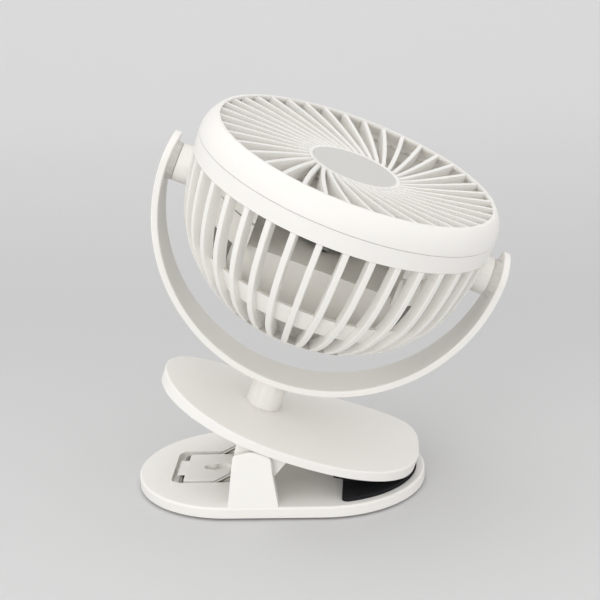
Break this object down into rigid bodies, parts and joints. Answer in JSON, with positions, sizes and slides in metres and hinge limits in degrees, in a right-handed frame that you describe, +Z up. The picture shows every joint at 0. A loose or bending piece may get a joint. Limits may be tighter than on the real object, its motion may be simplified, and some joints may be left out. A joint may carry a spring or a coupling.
{
  "type": "clip fan",
  "caption": "Round desk fan head in a half-ring yoke that swivels and tilts on a sprung clip with padded oval jaws.",
  "frame": {"origin": "on the surface the fan stands on, under the middle of the lower jaw", "axes": "+X towards the padded tips of the jaws, +Z up, +Y away from the side in the picture"},
  "size_m": [0.1656, 0.1328, 0.1704],
  "materials": {
    "shell_white": "fine satin texture, warm white",
    "inner_white": "plain moulded, warm white",
    "badge_grey": "satin light grey disc",
    "pad_black": "matt foam rubber",
    "nylon_black": "plain moulded",
    "spring_steel": "plain steel",
    "screw_steel": "zinc plated",
    "cell_wrap": "shrink wrapped cell",
    "contact_nickel": "nickel plated",
    "motor_zinc": "die cast",
    "coil_copper": "enamelled copper winding",
    "magnet_black": "bonded ferrite",
    "board_green": "circuit board",
    "light_clear": "clear lens"
  },
  "bodies": {
    "base": {"base_shell": "shell_white", "base_bottom_cover": "inner_white", "base_foot_pad": "pad_black", "base_screws": "screw_steel", "lower_jaw_pad": "pad_black", "hinge_pin": "spring_steel", "spring_retainer": "shell_white", "clip_spring": "spring_steel"},
    "upper_jaw": {"upper_jaw_top_shell": "shell_white", "upper_jaw_bottom_shell": "shell_white", "upper_jaw_pad": "pad_black", "upper_jaw_screws": "screw_steel"},
    "yoke": {"yoke_arm": "shell_white", "swivel_washer": "spring_steel", "swivel_screw": "screw_steel", "pivot_screws": "screw_steel", "pivot_nuts": "screw_steel", "pivot_caps": "shell_white"},
    "head": {"rear_cage": "shell_white", "front_grille": "shell_white", "hub_badge": "badge_grey", "pivot_bushes": "nylon_black", "battery_housing": "inner_white", "battery_cells": "cell_wrap", "battery_contacts": "contact_nickel", "motor_base": "motor_zinc", "motor_stator": "spring_steel", "motor_coils": "coil_copper", "motor_screws": "screw_steel", "control_board": "board_green", "board_screws": "screw_steel", "charge_port": "contact_nickel", "power_light": "light_clear", "button_switch": "nylon_black", "rear_cap": "shell_white", "cap_screws": "screw_steel", "housing_screws": "screw_steel"},
    "impeller_rotor": {"impeller": "shell_white", "motor_rotor": "spring_steel", "motor_magnet": "magnet_black", "motor_shaft": "spring_steel"},
    "button": {"power_button": "shell_white"}
  },
  "joints": [
    {"name": "clip_hinge", "type": "hinge", "parent": "base", "child": "upper_jaw", "pos_m": [-0.0094, 0, 0.0203], "axis": [0, -1, 0], "range_deg": [0, 32], "stiffness_Nm_per_rad": 0.9, "springref_deg": -34.38, "deforming": ["clip_spring"]},
    {"name": "neck_swivel", "type": "hinge", "parent": "upper_jaw", "child": "yoke", "pos_m": [-0.00718, 0, 0.0362], "axis": [0.3811, 0, 0.9245], "continuous": true},
    {"name": "head_tilt", "type": "hinge", "parent": "yoke", "child": "head", "pos_m": [0.02711, 0, 0.11941], "axis": [0.9245, 0, -0.3811], "continuous": true},
    {"name": "fan_spin", "type": "hinge", "parent": "head", "child": "impeller_rotor", "pos_m": [0.02711, 0, 0.11941], "axis": [0.3793, -0.0958, 0.9203], "continuous": true},
    {"name": "button_press", "type": "slide", "parent": "head", "child": "button", "axis": [0.3793, -0.0958, 0.9203], "range_m": [0, 0.001], "stiffness_N_per_m": 600, "springref_m": -0.0005}
  ]
}
